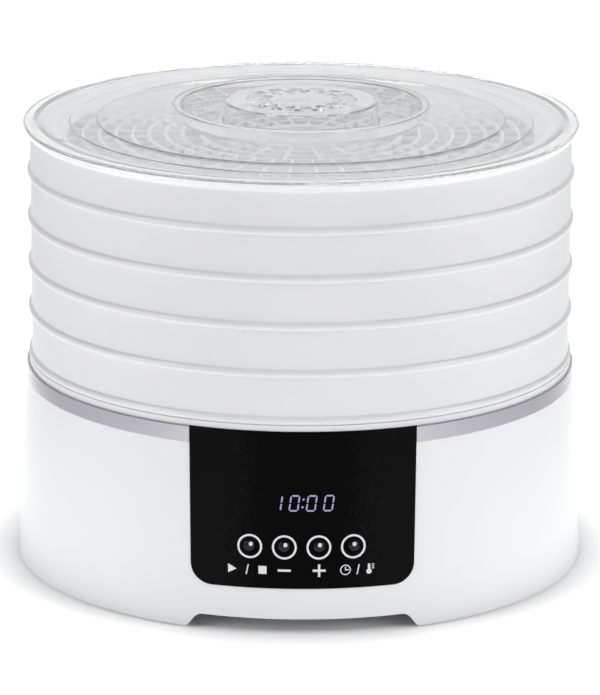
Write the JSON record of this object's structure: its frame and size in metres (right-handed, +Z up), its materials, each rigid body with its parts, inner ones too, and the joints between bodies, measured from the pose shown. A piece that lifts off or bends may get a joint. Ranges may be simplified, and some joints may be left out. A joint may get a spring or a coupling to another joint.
{
  "type": "food dehydrator",
  "caption": "Round countertop food dehydrator: tapered fan base with a curved control panel, stacked lift-off trays with open grid floors and a clear vented lid.",
  "frame": {"origin": "centre of the footprint on the surface under the rubber feet", "axes": "+Z up along the stack, -Y towards the control panel (front), +X to the right seen from the front"},
  "size_m": [0.3368, 0.3359, 0.2731],
  "materials": {
    "white_plastic": "smooth satin white",
    "tray_plastic": "milky white, fine satin",
    "clear_plastic": "clear, polished",
    "brushed_band": "brushed along the band",
    "black_gloss": "mirror-gloss black",
    "button_black": "gloss black dome",
    "black_plastic": "moulded black",
    "grey_plastic": "fine satin white",
    "board": "green solder mask",
    "rubber": "matt",
    "zinc_steel": "zinc-plated sheet",
    "bright_steel": "bright",
    "lamination": "stacked lamination edge",
    "copper": "enamelled winding",
    "bronze": "sintered",
    "nichrome": "oxidised wire",
    "mica": "mica board",
    "ceramic": "steatite",
    "film_yellow": "potted case",
    "terminal_green": "moulded",
    "wire_red": "silicone sleeve",
    "wire_white": "silicone sleeve",
    "wire_grey": "sheath"
  },
  "bodies": {
    "base": {"base_deck": "white_plastic", "base_housing": "white_plastic", "bearing_bridge_lower": "zinc_steel", "bearing_bridge_upper": "zinc_steel", "bottom_cover": "white_plastic", "bracket_screws": "bright_steel", "button_guide": "black_plastic", "control_board": "board", "control_board_screws": "bright_steel", "control_panel": "black_gloss", "cord_gland": "black_plastic", "cover_screws": "bright_steel", "display_module": "black_plastic", "filter_capacitor": "film_yellow", "heat_shield": "zinc_steel", "heater_cards": "mica", "heater_coil": "nichrome", "heater_leads": "wire_red", "heater_terminals": "ceramic", "mains_transformer": "lamination", "motor_bearings": "bronze", "motor_bracket": "zinc_steel", "motor_coil": "copper", "motor_leads": "wire_white", "motor_screws": "bright_steel", "motor_spacers": "bright_steel", "motor_stator": "lamination", "outlet_grille": "grey_plastic", "panel_cable": "wire_grey", "power_board": "board", "power_board_screws": "bright_steel", "relay": "black_plastic", "rubber_feet": "rubber", "shield_screws": "bright_steel", "tact_switches": "black_plastic", "temperature_sensor": "bright_steel", "terminal_block": "terminal_green", "thermal_fuse": "bright_steel", "thermostat": "zinc_steel", "trim_band": "brushed_band"},
    "fan_rotor": {"motor_shaft": "bright_steel", "motor_rotor": "lamination", "fan_impeller": "black_plastic", "fan_nut": "bright_steel"},
    "button_start_stop": {"button_start_stop": "button_black"},
    "button_minus": {"button_minus": "button_black"},
    "button_plus": {"button_plus": "button_black"},
    "button_time_temp": {"button_time_temp": "button_black"},
    "tray_1": {"tray_1": "tray_plastic"},
    "tray_2": {"tray_2": "tray_plastic"},
    "tray_3": {"tray_3": "tray_plastic"},
    "tray_4": {"tray_4": "tray_plastic"},
    "tray_5": {"tray_5": "tray_plastic"},
    "lid": {"lid": "clear_plastic"}
  },
  "joints": [
    {"name": "fan_spin", "type": "hinge", "parent": "base", "child": "fan_rotor", "pos_m": [0, 0, 0.073], "axis": [0, 0, 1], "continuous": true},
    {"name": "press_start_stop", "type": "slide", "parent": "base", "child": "button_start_stop", "axis": [0, 1, 0], "range_m": [0, 0.0008], "stiffness_N_per_m": 1200, "springref_m": -0.0004},
    {"name": "press_minus", "type": "slide", "parent": "base", "child": "button_minus", "axis": [0, 1, 0], "range_m": [0, 0.0008], "stiffness_N_per_m": 1200, "springref_m": -0.0004},
    {"name": "press_plus", "type": "slide", "parent": "base", "child": "button_plus", "axis": [0, 1, 0], "range_m": [0, 0.0008], "stiffness_N_per_m": 1200, "springref_m": -0.0004},
    {"name": "press_time_temp", "type": "slide", "parent": "base", "child": "button_time_temp", "axis": [0, 1, 0], "range_m": [0, 0.0008], "stiffness_N_per_m": 1200, "springref_m": -0.0004},
    {"name": "lift_tray_1", "type": "slide", "parent": "base", "child": "tray_1", "axis": [0, 0, 1], "range_m": [0, 0.05]},
    {"name": "lift_tray_2", "type": "slide", "parent": "tray_1", "child": "tray_2", "axis": [0, 0, 1], "range_m": [0, 0.05]},
    {"name": "lift_tray_3", "type": "slide", "parent": "tray_2", "child": "tray_3", "axis": [0, 0, 1], "range_m": [0, 0.05]},
    {"name": "lift_tray_4", "type": "slide", "parent": "tray_3", "child": "tray_4", "axis": [0, 0, 1], "range_m": [0, 0.05]},
    {"name": "lift_tray_5", "type": "slide", "parent": "tray_4", "child": "tray_5", "axis": [0, 0, 1], "range_m": [0, 0.05]},
    {"name": "lift_lid", "type": "slide", "parent": "tray_5", "child": "lid", "axis": [0, 0, 1], "range_m": [0, 0.08]}
  ]
}
